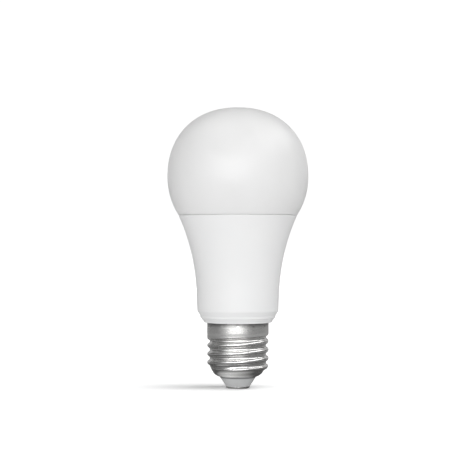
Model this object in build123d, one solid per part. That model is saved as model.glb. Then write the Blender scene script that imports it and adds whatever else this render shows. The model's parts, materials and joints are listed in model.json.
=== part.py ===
from build123d import *
from collections import namedtuple
import math
import os

# A screw-cap LED smart bulb, in millimetres. +Z runs up the axis from the centre contact, whose flat
# underside is z = 0, to the crown of the dome. -Y is the front. Every separate piece is its own node.

# ---- Overall form -----------------------------------------------------------------------------------
OVERALL_HEIGHT = 119.5
DOME_RADIUS = 30.0
CROWN_HEIGHT = 29.6                       # crown above the widest level
CROWN_POWER = 2.2                         # superellipse power: a little fuller than a sphere
DOME_WALL = 1.5
WIDEST_Z = OVERALL_HEIGHT - CROWN_HEIGHT
SEAM_Z = 73.7                             # middle of the gap between dome and housing
SEAM_GAP = 0.3
LIP_OUTER = 23.1                          # dome lip that drops inside the housing rim
LIP_INNER = 22.0
LIP_BOTTOM_Z = 71.8
SEALANT_PLAY = 0.05

# ---- Housing ----------------------------------------------------------------------------------------
WAIST_RADIUS = 17.6                       # where the straight, drafted neck turns into the flare
WAIST_Z = 41.0
FLARE_RADIUS = 86.0                       # concave flare, centred outside the housing
DRAFT = math.radians(2.0)
FLARE_CENTRE_R = WAIST_RADIUS + FLARE_RADIUS * math.cos(DRAFT)
FLARE_CENTRE_Z = WAIST_Z - FLARE_RADIUS * math.sin(DRAFT)
HOUSING_WALL = 1.6
RIM_RECESS = 23.2                         # counterbore that takes the dome lip
SEAT_Z = 70.9                             # floor of that counterbore
SHOULDER_Z = 33.0
COLLAR_Z = 28.1                           # underside of the neck, over the screw shell
FLOOR_Z = 31.0                            # floor inside the neck
FLOOR_RADIUS = 14.9
SPIGOT_BOTTOM = 12.0                      # the spigot reaches down inside the screw shell
SPIGOT_RADIUS = 11.5
SPIGOT_BORE = 10.1
SPIGOT_BAND = 12.65                       # thicker part of the spigot, under the shell's plain band
STAKE_Z = 27.2
STAKE_COUNT = 12
STAKE_BALL = 0.75                         # radius of the punch that stakes the shell to the spigot
STAKE_GROOVE = 0.5                        # depth of the spigot's groove that takes the punched metal
WIRE_NOTCH = 10.7                         # radius at the bottom of the notch for the neutral wire
WIRE_NOTCH_HALF, WIRE_NOTCH_TOP = 0.6, 21.0
COLLAR_STEPS = ((14.5, COLLAR_Z), (14.8, 28.4), (14.95, 29.2), (15.3, 29.45), (15.95, 30.1), (16.1, 31.1))

# ---- E27 screw shell --------------------------------------------------------------------------------
BAND_RADIUS = 13.1                        # plain band above the thread
THREAD_MAJOR = 13.05
THREAD_MINOR = 11.95
THREAD_PITCH = 3.629
CREST_Z = 12.85                           # height of one crest on the +X side
SHELL_WALL = 0.35
THREAD_BOTTOM = 7.6
THREAD_TOP = 23.2
THREAD_STEPS = 12                         # straight steps for each turn of the thread
BOWL_TOP = 9.2
BOWL_MIDDLE = (10.3, 6.4)                 # (radius, height) half-way up the bowl
SHELL_BOTTOM = 5.1
LIP_RADIUS = 8.2                          # rolled lip that holds the insulator

# ---- Cap tip ----------------------------------------------------------------------------------------
CONTACT_FLAT = 4.35
CONTACT_RADIUS = 5.0
CONTACT_HEIGHT = 0.9
RECESS_RADIUS, RECESS_DEPTH = 1.5, 0.5    # dished middle of the contact, filled with solder
STEM_RADIUS = 1.6
STEM_TOP = 3.0
PIN_RADIUS = 0.7

# ---- Heat path and light engine ---------------------------------------------------------------------
CUP_WALL = 0.9
CUP_BOTTOM = 34.5
CUP_TOP = 69.6
CUP_FLOOR = 1.0
PAD_THICKNESS = 0.3
LED_BOARD_RADIUS = 21.4
LED_BOARD_THICKNESS = 1.0
LED_BOARD_Z = CUP_TOP + PAD_THICKNESS
LED_BOARD_TOP = LED_BOARD_Z + LED_BOARD_THICKNESS
LED_COUNT = 20
LED_RING = 12.8
LED_WIDTH, LED_LENGTH, LED_HEIGHT, LED_CHAMFER = 2.8, 3.5, 0.7, 0.08
EMITTER_RADIUS, EMITTER_DEPTH = 1.15, 0.25
SCREW_RING = 17.2
SCREW_ANGLES = (90, 210, 330)
SCREW_SHANK = 1.2
BOSS_RADIUS, BOSS_BOTTOM = 2.0, 66.0      # screw bosses under the cup's top
WINDOW = (-8.4, 8.4, -1.6, 6.4)           # opening in the cup floor for radio board and pins

# ---- Driver ----------------------------------------------------------------------------------------
SLEEVE_OUTER, SLEEVE_INNER = 14.6, 13.8
SLEEVE_TOP = 66.0
BOARD_FRONT, BOARD_BACK = 3.0, 4.2        # the board stands in a plane of constant y
BOARD_HALF, TAIL_HALF = 12.9, 8.8
BOARD_TOP, BOARD_STEP, TAIL_BOTTOM = 63.5, 31.3, 15.5
LEAD_RADIUS, LEAD_HOLE = 0.3, 0.45
LEAD_TIP = 5.3

Can = namedtuple("Can", "x y closed_z lead_z radius")
Upright = namedtuple("Upright", "x y low high radius")
Disc = namedtuple("Disc", "x y z radius thickness")
Bobbin = namedtuple("Bobbin", "x z front back")
Place = namedtuple("Place", "x y z")
Package = namedtuple("Package", "x z wide tall thick feet")

BULK_CAN = Can(x=0.0, y=-3.4, closed_z=12.6, lead_z=28.6, radius=5.0)
OUTPUT_CAN = Can(x=7.2, y=-1.7, closed_z=55.0, lead_z=43.5, radius=4.0)   # leads point down
BULK_LEADS = ((-2.5, 30.2), (2.5, 30.2))  # places of leads on the board, as (x, z)
OUTPUT_LEADS = ((5.45, 42.2), (8.95, 42.2))
FUSE = Upright(x=-2.6, y=6.0, low=18.5, high=26.5, radius=1.5)
FUSE_LEADS = ((-2.6, 17.0), (-2.6, 28.0))
VARISTOR = Disc(x=2.9, y=6.1, z=24.0, radius=3.1, thickness=2.6)
VARISTOR_LEADS = ((1.4, 19.2), (4.4, 19.2))
FILM_BOX = (-10.8, -0.8, -2.6, 2.6, 32.0, 41.0)   # x, y and z from low to high
FILM_LEADS = ((-8.3, 36.5), (-3.3, 36.5))
CHOKE = Bobbin(x=6.2, z=36.8, front=-5.4, back=2.6)
CHOKE_LEADS = ((4.6, 36.8), (7.8, 36.8))
TRANSFORMER = Place(x=-4.5, y=-3.3, z=50.0)
PIN_PITCH = 2.54
TRANSFORMER_PINS = [(TRANSFORMER.x + PIN_PITCH * (k - 1.5), TRANSFORMER.z + side * 6.4)
                    for side in (-1, 1) for k in range(4)]
CHIPS = (Package(x=-7.0, z=49.5, wide=4.9, tall=3.9, thick=1.5, feet=4),
         Package(x=0.5, z=49.5, wide=4.9, tall=3.9, thick=1.5, feet=4),
         Package(x=-5.8, z=33.4, wide=4.0, tall=3.4, thick=2.4, feet=2))
DIODES = ((8.3, 47.0), (8.3, 51.5), (3.4, 33.4))  # places on the back of the board, as (x, z)
HEADER_Z = 59.6
HEADER_PINS = [(x, HEADER_Z) for x in (-3.0, -1.0, 1.0, 3.0)]
LINK_X = [PIN_PITCH * (k - 1.5) for k in range(4)]
LINK_SIDE = 0.64
LINK_Y = BOARD_BACK + LINK_SIDE / 2
RADIO = (-7.0, 7.0, -0.4, 0.4, 57.6, 81.5)
WIRE_Y = 4.72                             # lead wires lie along the back of the board
WIRE_END = 19.5
LIVE_X, NEUTRAL_X = -6.0, 6.6
LIVE_WIRE_RADIUS, NEUTRAL_WIRE_RADIUS = 0.5, 0.4

FIT_GAP = 0.06                            # play between a formed piece and the seat it is pushed into
FACE_TOUCH = 0.02                         # play between two pieces that would otherwise share a face
REACH = 200.0                             # longer than the bulb, for cutting tools


# ---- Helpers ----------------------------------------------------------------------------------------
def polar(radius, degrees):
    """The point at that radius and angle in the XY plane."""
    angle = math.radians(degrees)
    return radius * math.cos(angle), radius * math.sin(angle)


def spin(*curves):
    """A closed outline of (radius, height) curves, turned about the Z axis."""
    return revolve(make_face(Plane.XZ * (Curve() + list(curves))), Axis.Z)


def turned(*points):
    """A closed polygon of (radius, height) points, turned about the Z axis."""
    return spin(Polyline(*points, close=True))


def disc(radius, low, high, x=0.0, y=0.0):
    """A cylinder along Z."""
    return Pos(x, y, (low + high) / 2) * Cylinder(radius, high - low)


def rod(radius, x, z, front, back):
    """A cylinder along Y, from front to back."""
    return Pos(x, (front + back) / 2, z) * Rot(90, 0, 0) * Cylinder(radius, back - front)


def block(x_low, x_high, y_low, y_high, z_low, z_high):
    """A box given by its faces."""
    centre = ((x_low + x_high) / 2, (y_low + y_high) / 2, (z_low + z_high) / 2)
    return Pos(*centre) * Box(x_high - x_low, y_high - y_low, z_high - z_low)


def bent(points, radius, share=0.45):
    """A round wire through the points, with each corner rounded as far as its two runs allow."""
    path = [Vector(*p) for p in points]
    bends = []
    for before, corner, after in zip(path, path[1:], path[2:]):
        run = min((corner - before).length, (after - corner).length)
        turn = (corner - before).get_angle(after - corner)
        bends.append(share * run / math.tan(math.radians(turn / 2)))
    line = FilletPolyline(*path, radius=bends if len(bends) > 1 else bends[0])
    start = Plane(origin=line @ 0, z_dir=line % 0)
    return sweep(start * Circle(radius), path=line)


def group(shapes):
    """Separate solids kept as one node."""
    return Compound(children=[solid for shape in shapes for solid in shape.solids()])


def wall_point(z, inset):
    """The (radius, height) of the housing's flared wall at a height, that far inside its outer face."""
    reach = FLARE_RADIUS + inset
    joint_z = FLARE_CENTRE_Z + reach * math.sin(DRAFT)
    if z >= joint_z:
        return FLARE_CENTRE_R - math.sqrt(reach**2 - (z - FLARE_CENTRE_Z) ** 2), z
    return FLARE_CENTRE_R - reach * math.cos(DRAFT) - (joint_z - z) * math.tan(DRAFT), z


def wall_curves(inset, low, high):
    """The drafted line and the flare arc of that wall, from a low to a high level."""
    joint_z = FLARE_CENTRE_Z + (FLARE_RADIUS + inset) * math.sin(DRAFT)
    joint, middle = wall_point(joint_z, inset), wall_point((joint_z + high) / 2, inset)
    return [Line(wall_point(low, inset), joint), ThreePointArc(joint, middle, wall_point(high, inset))]


def crown_point(inset, angle):
    """A (radius, height) point on the dome's upper outline, a superellipse."""
    a, b = DOME_RADIUS - inset, CROWN_HEIGHT - inset
    return a * math.cos(angle) ** (2 / CROWN_POWER), WIDEST_Z + b * math.sin(angle) ** (2 / CROWN_POWER)


def crown_curve(inset, steps=10):
    """The dome's upper outline, from its widest level to the axis."""
    points = [crown_point(inset, math.pi / 2 * k / steps) for k in range(steps)]
    return Spline(*points, (0, WIDEST_Z + CROWN_HEIGHT - inset), tangents=[(0, 1), (-1, 0)])


def sphere_arc(inset, low):
    """The dome's lower outline, a circle about the axis, from a low level up to the widest one."""
    radius = DOME_RADIUS - inset
    middle = (low + WIDEST_Z) / 2
    points = [(math.sqrt(radius**2 - (z - WIDEST_Z) ** 2), z) for z in (low, middle, WIDEST_Z)]
    return ThreePointArc(*points)


# ---- Dome and housing -------------------------------------------------------------------------------
def diffuser_dome():
    rim_z = SEAM_Z + SEAM_GAP / 2
    shelf_z, shelf_top = rim_z + 0.75, rim_z + 2.15
    outer, inner = sphere_arc(0, rim_z), sphere_arc(DOME_WALL, shelf_top)
    rim = Polyline(inner @ 0, (LIP_INNER, shelf_z), (LIP_INNER, LIP_BOTTOM_Z), (LIP_OUTER, LIP_BOTTOM_Z),
                   (LIP_OUTER, rim_z), outer @ 0)
    axis = Line((0, OVERALL_HEIGHT), (0, OVERALL_HEIGHT - DOME_WALL))
    return spin(outer, crown_curve(0), axis, crown_curve(DOME_WALL), inner, rim)


def dome_sealant():
    """A ring of silicone under the lip of the dome, inside the counterbore."""
    low, high = SEAT_Z + SEALANT_PLAY, LIP_BOTTOM_Z - SEALANT_PLAY
    inner, outer = LIP_INNER + 0.25, RIM_RECESS - SEALANT_PLAY
    return turned((inner, low), (outer, low), (outer, high), (inner, high))


def spigot_outline():
    """The outside of the spigot, from its lower end up to the collar, with the groove for the stakes."""
    band, groove = SPIGOT_BAND, SPIGOT_BAND - STAKE_GROOVE
    groove_low, groove_high = STAKE_Z - STAKE_BALL, COLLAR_Z - 0.15
    return Polyline((SPIGOT_RADIUS, SPIGOT_BOTTOM), (SPIGOT_RADIUS, THREAD_TOP - 0.5),
                    (band, THREAD_TOP + 0.9), (band, groove_low), (groove, groove_low),
                    (groove, groove_high), (band, groove_high), (band, COLLAR_Z))


def housing():
    rim_z = SEAM_Z - SEAM_GAP / 2
    outer = wall_curves(0, SHOULDER_Z, rim_z)
    inner = wall_curves(HOUSING_WALL, SHOULDER_Z, SEAT_Z)
    rim = Polyline(outer[1] @ 1, (RIM_RECESS, rim_z), (RIM_RECESS, SEAT_Z), inner[1] @ 1)
    inside = Polyline(inner[0] @ 0, (FLOOR_RADIUS, FLOOR_Z), (SPIGOT_BORE, FLOOR_Z),
                      (SPIGOT_BORE, SPIGOT_BOTTOM), (SPIGOT_RADIUS, SPIGOT_BOTTOM))
    collar = Polyline((SPIGOT_BAND, COLLAR_Z), *COLLAR_STEPS, outer[0] @ 0)
    shell = spin(*outer, rim, *inner, inside, spigot_outline(), collar)
    away = math.degrees(math.atan2(WIRE_Y, NEUTRAL_X))
    notch = block(WIRE_NOTCH, REACH, -WIRE_NOTCH_HALF, WIRE_NOTCH_HALF, SPIGOT_BOTTOM - 1, WIRE_NOTCH_TOP)
    return shell - Rot(0, 0, away) * notch


# ---- Screw cap --------------------------------------------------------------------------------------
def threaded_core(inset, low, high):
    """A solid screw: a circle off the axis goes round it once a pitch, in short straight steps."""
    steps = round(THREAD_STEPS * (high - low) / THREAD_PITCH)
    rings = []
    for k in range(steps + 1):
        z = low + (high - low) * k / steps
        x, y = polar((THREAD_MAJOR - THREAD_MINOR) / 2, 360 * (z - CREST_Z) / THREAD_PITCH)
        rings.append(Pos(x, y, z) * Circle((THREAD_MAJOR + THREAD_MINOR) / 2 - inset))
    return loft(rings, ruled=True)


def bowl_arc(inset):
    """The rounded bowl under the thread, from its lip up to the level where the thread hides it."""
    middle = (BOWL_MIDDLE[0] - inset, BOWL_MIDDLE[1] + inset / 2)
    return ThreePointArc((LIP_RADIUS - inset, SHELL_BOTTOM), middle, (THREAD_MINOR - 0.3 - inset, BOWL_TOP))


def cap_form(inset):
    """The cap's form, solid and over-long: bowl, thread and plain band, that far inside the outer face."""
    root, band = THREAD_MINOR - inset, BAND_RADIUS - inset
    bowl, core_top = bowl_arc(inset), BOWL_TOP + 0.8
    core = Polyline(bowl @ 1, (root - 1, core_top), (0, core_top), (0, SHELL_BOTTOM - 1),
                    (LIP_RADIUS - inset, SHELL_BOTTOM - 1), bowl @ 0)
    run_out = turned((0, THREAD_BOTTOM), (root - 1.75, THREAD_BOTTOM), (band + 0.4, THREAD_BOTTOM + 2),
                     (band + 0.4, THREAD_TOP), (0, THREAD_TOP))
    thread = threaded_core(inset, THREAD_BOTTOM - 0.2, THREAD_TOP + 0.2) & run_out
    top = turned((0, THREAD_TOP - 1.2), (root - 0.4, THREAD_TOP - 1.2), (band, THREAD_TOP + 0.3),
                 (band, COLLAR_Z + 1), (0, COLLAR_Z + 1))
    return thread + spin(bowl, core) + top


def screw_shell():
    shell = (cap_form(0) - cap_form(SHELL_WALL)) & disc(2 * BAND_RADIUS, SHELL_BOTTOM, COLLAR_Z)
    inside = disc(BAND_RADIUS - SHELL_WALL / 2, STAKE_Z - 2, STAKE_Z + 2)
    for k in range(STAKE_COUNT):
        x, y = polar(BAND_RADIUS + 0.45, 360 * k / STAKE_COUNT)
        ball = Pos(x, y, STAKE_Z) * Sphere(STAKE_BALL + SHELL_WALL)
        shell = shell + (ball & inside) - Pos(x, y, STAKE_Z) * Sphere(STAKE_BALL)
    return shell


def cap_insulator():
    seat = bowl_arc(SHELL_WALL + FIT_GAP)
    underside = (CONTACT_RADIUS + 0.05, CONTACT_HEIGHT)
    rim = Polyline(seat @ 1, (0, BOWL_TOP), (0, CONTACT_HEIGHT), underside, seat @ 0)
    return spin(seat, rim) - disc(STEM_RADIUS + FACE_TOUCH, 0, REACH)


def centre_contact():
    """An eyelet with a rounded flat face, a hollow stem and a dished middle."""
    eyelet = turned((0, 0), (CONTACT_FLAT, 0), (CONTACT_RADIUS - 0.15, 0.3), (CONTACT_RADIUS, 0.6),
                    (CONTACT_RADIUS, CONTACT_HEIGHT), (STEM_RADIUS, CONTACT_HEIGHT), (STEM_RADIUS, STEM_TOP),
                    (0, STEM_TOP))
    return eyelet - disc(PIN_RADIUS + FACE_TOUCH, -1, REACH) - disc(RECESS_RADIUS, -1, RECESS_DEPTH)


def contact_pin():
    """The end of the live lead, with the low dome of solder that fills the contact's dish."""
    pin = disc(PIN_RADIUS, RECESS_DEPTH - 0.1, STEM_TOP)
    return pin + turned((0, 0.1), (1.0, 0.12), (1.4, 0.3), (1.4, 0.48), (0, 0.48))


# ---- Heat path and light engine ---------------------------------------------------------------------
def heat_sink_cup():
    """A drawn aluminium cup inside the flare, closed at the top, with three bosses for screws."""
    inset = HOUSING_WALL + FIT_GAP
    outer = wall_curves(inset, CUP_BOTTOM, CUP_TOP)
    inner = wall_curves(inset + CUP_WALL, CUP_BOTTOM, CUP_TOP - CUP_FLOOR)
    top = Polyline(outer[1] @ 1, (0, CUP_TOP), (0, CUP_TOP - CUP_FLOOR), inner[1] @ 1)
    cup = spin(*outer, top, *inner, Line(inner[0] @ 0, outer[0] @ 0))
    for angle in SCREW_ANGLES:
        x, y = polar(SCREW_RING, angle)
        cup += disc(BOSS_RADIUS, BOSS_BOTTOM, CUP_TOP - CUP_FLOOR / 2, x, y)
        cup -= disc(SCREW_SHANK + 0.05, BOSS_BOTTOM - 1, REACH, x, y)
    return cup - block(*WINDOW, CUP_TOP - 3, CUP_TOP + 1)


def thermal_pad():
    pad = disc(LED_BOARD_RADIUS, CUP_TOP, LED_BOARD_Z) - block(*WINDOW, 0, REACH)
    for angle in SCREW_ANGLES:
        pad -= disc(1.5, 0, REACH, *polar(SCREW_RING, angle))
    return pad


def led_board():
    board = disc(LED_BOARD_RADIUS, LED_BOARD_Z, LED_BOARD_TOP)
    board -= block(RADIO[0] - 0.6, RADIO[1] + 0.6, RADIO[2] - 0.4, RADIO[3] + 0.4, 0, REACH)
    for x in LINK_X:
        board -= disc(0.65, 0, REACH, x, LINK_Y)
    for angle in SCREW_ANGLES:
        board -= disc(1.45, 0, REACH, *polar(SCREW_RING, angle))
    return board


def around_leds(make, wanted):
    """One solid for each LED place that is wanted, out of the evenly spaced ring."""
    placed = []
    for k in range(LED_COUNT):
        if wanted(k):
            x, y = polar(LED_RING, 360 * (k + 0.5) / LED_COUNT)
            placed.append(Pos(x, y, LED_BOARD_TOP) * Rot(0, 0, 360 * (k + 0.5) / LED_COUNT) * make())
    return group(placed)


def led_package():
    body = Pos(0, 0, LED_HEIGHT / 2) * Box(LED_LENGTH, LED_WIDTH, LED_HEIGHT)
    body = chamfer(body.faces().sort_by(Axis.Z)[-1].edges(), LED_CHAMFER)
    return body - disc(EMITTER_RADIUS, LED_HEIGHT - EMITTER_DEPTH, 1)


def led_emitter():
    return disc(EMITTER_RADIUS, LED_HEIGHT - EMITTER_DEPTH, LED_HEIGHT - 0.02)


def led_board_screws():
    """Pan-head screws with a cross recess, each turned a little from the last."""
    head = turned((0, 0), (1.95, 0), (1.95, 0.5), (1.5, 1.05), (0, 1.2))
    drive = block(-1.1, 1.1, -0.2, 0.2, 0.6, 2) + block(-0.2, 0.2, -1.1, 1.1, 0.6, 2)
    tip, end = SCREW_SHANK - 0.4, -4.9
    point = turned((0, end), (tip, end), (SCREW_SHANK, end + 0.5), (0, end + 0.5))
    screw = head - drive + disc(SCREW_SHANK, end + 0.5, 0.0) + point
    return group([Pos(*polar(SCREW_RING, angle), LED_BOARD_TOP) * Rot(0, 0, angle + 20) * screw
                  for angle in SCREW_ANGLES])


def led_socket():
    body = block(-5.2, 5.2, LINK_Y - 1.15, LINK_Y + 1.15, LED_BOARD_TOP, LED_BOARD_TOP + 3.5)
    body = chamfer(body.faces().sort_by(Axis.Z)[-1].edges(), 0.25)
    for x in LINK_X:
        body -= block(x - 0.45, x + 0.45, LINK_Y - 0.45, LINK_Y + 0.45, 0, REACH)
    return body


def link_pins():
    half = LINK_SIDE / 2
    return group([block(x - half, x + half, LINK_Y - half, LINK_Y + half, 61.2, 73.6) for x in LINK_X])


def link_pin_spacer():
    body = block(-5.08, 5.08, LINK_Y - 1.25, LINK_Y + 1.25, BOARD_TOP + 0.3, BOARD_TOP + 2.8)
    half = LINK_SIDE / 2
    for x in LINK_X:
        body -= block(x - half, x + half, LINK_Y - half, LINK_Y + half, 0, REACH)
    return body


# ---- Driver -----------------------------------------------------------------------------------------
LEADS = [*BULK_LEADS, *OUTPUT_LEADS, *FUSE_LEADS, *VARISTOR_LEADS, *FILM_LEADS, *CHOKE_LEADS,
         *TRANSFORMER_PINS, *HEADER_PINS]


def driver_sleeve():
    sleeve = disc(SLEEVE_OUTER, FLOOR_Z + 0.05, SLEEVE_TOP) - disc(SLEEVE_INNER, 0, REACH)
    ribs = block(12.3, 14.2, 1.85, 2.9, FLOOR_Z + 1, 60) + block(12.3, 14.2, 4.3, 5.35, FLOOR_Z + 1, 60)
    ribs &= disc((SLEEVE_OUTER + SLEEVE_INNER) / 2, 0, REACH)
    return sleeve + ribs + mirror(ribs, Plane.YZ)


def driver_board():
    board = block(-BOARD_HALF, BOARD_HALF, BOARD_FRONT, BOARD_BACK, BOARD_STEP, BOARD_TOP)
    board += block(-TAIL_HALF, TAIL_HALF, BOARD_FRONT, BOARD_BACK, TAIL_BOTTOM, BOARD_STEP)
    for x, z in LEADS:
        board -= rod(LEAD_HOLE, x, z, BOARD_FRONT - 1, BOARD_BACK + 1)
    return board


def electrolytic(x, y, closed_z, lead_z, radius):
    """An aluminium can along Z with a crimped neck at its lead end and a scored vent at the closed end."""
    height, score, half = abs(lead_z - closed_z), 0.12, radius * 0.6
    can = turned((0, 0), (radius - 0.5, 0), (radius, 0.5), (radius, height - 2.6),
                 (radius - 0.45, height - 2.1), (radius, height - 1.6), (radius, height - 0.35),
                 (radius - 0.35, height), (radius - 1.0, height), (radius - 1.0, height - 0.3),
                 (0, height - 0.3))
    can -= block(-half, half, -score, score, -1, score) + block(-score, score, -half, half, -1, score)
    if lead_z < closed_z:
        can = Rot(180, 0, 0) * can
    return Pos(x, y, closed_z) * can


def varistor():
    x, y, z, radius, thickness = VARISTOR
    return fillet(rod(radius, x, z, y - thickness / 2, y + thickness / 2).edges(), 0.6)


def fuse_resistor():
    x, y, low, high, radius = FUSE
    ends = [(0, low), (radius - 0.4, low), (radius, low + 0.5), (radius, low + 1.6),
            (radius - 0.25, low + 2.0)]
    tops = [(r, low + high - z) for r, z in reversed(ends)]
    return Pos(x, y, 0) * turned(*ends, *tops)


def film_capacitor():
    return fillet(block(*FILM_BOX).edges(), 0.35)


def choke_core():
    x, z, front, back = CHOKE
    return rod(2.0, x, z, front, back) + rod(4.0, x, z, front, front + 1.2) + rod(4.0, x, z, back - 1.2, back)


def choke_winding():
    x, z, front, back = CHOKE
    return rod(3.6, x, z, front + 1.22, back - 1.22) - rod(2.02, x, z, front, back)


def transformer_core():
    x, y, z = TRANSFORMER
    core = block(x - 6.5, x + 6.5, y - 3.05, y + 3.05, z - 6.1, z + 6.1)
    for low, high in ((-4.7, -1.4), (1.4, 4.7)):
        core -= block(x + low, x + high, y - 5, y + 5, z - 4.5, z + 4.5)
    return core


def transformer_bobbin():
    x, y, z = TRANSFORMER
    body = block(x - 2.3, x + 2.3, y - 3.9, y + 3.9, z - 4.4, z + 4.4)
    for side in (-1, 1):
        low, high = sorted((z + side * 3.7, z + side * 4.4))
        body += block(x - 4.6, x + 4.6, y - 5.2, y + 5.2, low, high)
        low, high = sorted((z + side * 3.7, z + side * 7.2))
        body += block(x - 4.9, x + 4.9, y + 3.15, BOARD_FRONT - 0.2, low, high)
    body -= block(x - 1.45, x + 1.45, y - 3.1, y + 3.1, z - 5, z + 5)
    for px, pz in TRANSFORMER_PINS:
        body -= rod(LEAD_RADIUS, px, pz, BOARD_FRONT - 1.2, BOARD_FRONT)
    return body


def transformer_winding():
    x, y, z = TRANSFORMER
    outer = block(x - 4.3, x + 4.3, y - 5.0, y + 4.6, z - 3.68, z + 3.68)
    outer = fillet(outer.edges().filter_by(Axis.Z), 1.4)
    return outer - block(x - 2.32, x + 2.32, y - 3.92, y + 3.92, z - 5, z + 5)


def component_leads():
    """Leads straight through the board, and bent ones from the parts that stand off it."""
    wires = [rod(LEAD_RADIUS, x, z, BOARD_FRONT - 1.2, LEAD_TIP) for x, z in TRANSFORMER_PINS]
    wires += [rod(LEAD_RADIUS, x, z, 2.62, LEAD_TIP) for x, z in (*FILM_LEADS, *CHOKE_LEADS)]
    for can, places in ((BULK_CAN, BULK_LEADS), (OUTPUT_CAN, OUTPUT_LEADS)):
        way = 1 if can.lead_z > can.closed_z else -1
        start = can.lead_z - way * 0.28
        wires += [bent([(x, can.y, start), (x, can.y, z), (x, LEAD_TIP, z)], LEAD_RADIUS) for x, z in places]
    y, front = FUSE.y, BOARD_FRONT - 1
    for start, (x, z) in zip((FUSE.low - FACE_TOUCH, FUSE.high + FACE_TOUCH), FUSE_LEADS):
        wires.append(bent([(x, y, start), (x, y, z), (x, front, z)], LEAD_RADIUS))
    y = VARISTOR.y
    for x, z in VARISTOR_LEADS:
        start = VARISTOR.z - math.sqrt((VARISTOR.radius + 0.05) ** 2 - (x - VARISTOR.x) ** 2)
        wires.append(bent([(x, y, start), (x, y, z), (x, front, z)], LEAD_RADIUS))
    return group(wires)


def solder_joints():
    """A fillet of solder round each lead or pin, on the side of a board where its tip comes out."""
    cone = turned((LEAD_RADIUS, 0), (0.85, 0), (0.55, 0.3), (LEAD_RADIUS, 0.8))
    around_pin = turned((0, 0), (0.8, 0), (0.55, 0.3), (0.4, 0.6), (0, 0.6)) - Box(0.5, 0.5, 4)
    joints = []
    for x, z in LEADS:
        if (x, z) in HEADER_PINS:
            joints.append(Pos(x, BOARD_BACK, z) * Rot(-90, 0, 0) * around_pin)
            joints.append(Pos(x, RADIO[2], z) * Rot(90, 0, 0) * around_pin)
        elif (x, z) in FUSE_LEADS or (x, z) in VARISTOR_LEADS:
            joints.append(Pos(x, BOARD_FRONT, z) * Rot(90, 0, 0) * cone)
        else:
            joints.append(Pos(x, BOARD_BACK, z) * Rot(-90, 0, 0) * cone)
    half = LINK_SIDE / 2
    for x in LINK_X:
        bead = block(x - 0.65, x + 0.65, BOARD_BACK, BOARD_BACK + 0.45, 61.5, 63.2)
        joints.append(bead - block(x - half, x + half, BOARD_BACK, BOARD_BACK + LINK_SIDE, 0, REACH))
    for x, radius in ((LIVE_X, LIVE_WIRE_RADIUS), (NEUTRAL_X, NEUTRAL_WIRE_RADIUS)):
        bead = disc(0.85, WIRE_END - 2.3, WIRE_END - 0.6, x, WIRE_Y - 0.1)
        bead &= block(x - 2, x + 2, BOARD_BACK, BOARD_BACK + 2, 0, REACH)
        joints.append(bead - disc(radius, 0, REACH, x, WIRE_Y))
    return group(joints)


def chip_bodies():
    """Bridge rectifier and the two driver chips, on the back of the board."""
    bodies = []
    for x, z, wide, tall, thick, _ in CHIPS:
        body = block(x - wide / 2, x + wide / 2, BOARD_BACK + 0.1, BOARD_BACK + thick,
                     z - tall / 2, z + tall / 2)
        bodies.append(chamfer(body.faces().sort_by(Axis.Y)[-1].edges(), 0.25))
    return group(bodies)


def chip_leads():
    feet = []
    for x, z, wide, tall, thick, count in CHIPS:
        for side in (-1, 1):
            for k in range(count):
                px = x + (k - (count - 1) / 2) * wide / count
                near, far = sorted((z + side * (tall / 2 + FACE_TOUCH / 4), z + side * (tall / 2 + 0.45)))
                knee = block(px - 0.2, px + 0.2, BOARD_BACK, BOARD_BACK + thick / 2, near, far)
                low, high = sorted((z + side * (tall / 2 + 0.3), z + side * (tall / 2 + 1.0)))
                feet.append(knee + block(px - 0.2, px + 0.2, BOARD_BACK, BOARD_BACK + 0.2, low, high))
    return group(feet)


def rectifier_diodes():
    bodies = []
    for x, z in DIODES:
        body = block(x - 2.1, x + 2.1, BOARD_BACK, BOARD_BACK + 2.1, z - 1.3, z + 1.3)
        bodies.append(chamfer(body.faces().sort_by(Axis.Y)[-1].edges(), 0.3))
    return group(bodies)


def chip_resistors():
    places = [(3.0 * k, 39.8) for k in range(-3, 4)] + [(-10.8, 46.0 + 2.4 * k) for k in range(4)]
    return group([block(x - 1.0, x + 1.0, BOARD_BACK, BOARD_BACK + 0.5, z - 0.62, z + 0.62)
                  for x, z in places])


def chip_capacitors():
    places = [(-8.5 + 3.0 * k, 53.8) for k in range(4)] + [(4.8, 49.5), (4.8, 46.6)]
    return group([block(x - 0.8, x + 0.8, BOARD_BACK, BOARD_BACK + 0.8, z - 0.62, z + 0.62)
                  for x, z in places])


def live_wire():
    points = [(0, 0, STEM_TOP + 0.1), (0, 0, 10.0), (LIVE_X, WIRE_Y, 13.0), (LIVE_X, WIRE_Y, WIRE_END)]
    return bent(points, LIVE_WIRE_RADIUS)


def neutral_wire():
    """From the notch beside the shell, under the spigot's edge, and up the back of the board's tail."""
    out = (WIRE_NOTCH + NEUTRAL_WIRE_RADIUS + 0.05) / math.hypot(NEUTRAL_X, WIRE_Y)
    x, y, low = NEUTRAL_X * out, WIRE_Y * out, 10.6
    points = [(x, y, WIRE_END), (x, y, low), (NEUTRAL_X, WIRE_Y, low), (NEUTRAL_X, WIRE_Y, WIRE_END)]
    return bent(points, NEUTRAL_WIRE_RADIUS)


# ---- Radio module -----------------------------------------------------------------------------------
def radio_board():
    board = block(*RADIO)
    for x, z in HEADER_PINS:
        board -= rod(0.4, x, z, RADIO[2] - 1, RADIO[3] + 1)
    return board


def radio_header():
    body = block(-4.2, 4.2, RADIO[3] + FACE_TOUCH, BOARD_FRONT - FACE_TOUCH, HEADER_Z - 0.9, HEADER_Z + 0.9)
    for x, z in HEADER_PINS:
        body -= block(x - 0.25, x + 0.25, 0, BOARD_FRONT, z - 0.25, z + 0.25)
    return body


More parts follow.
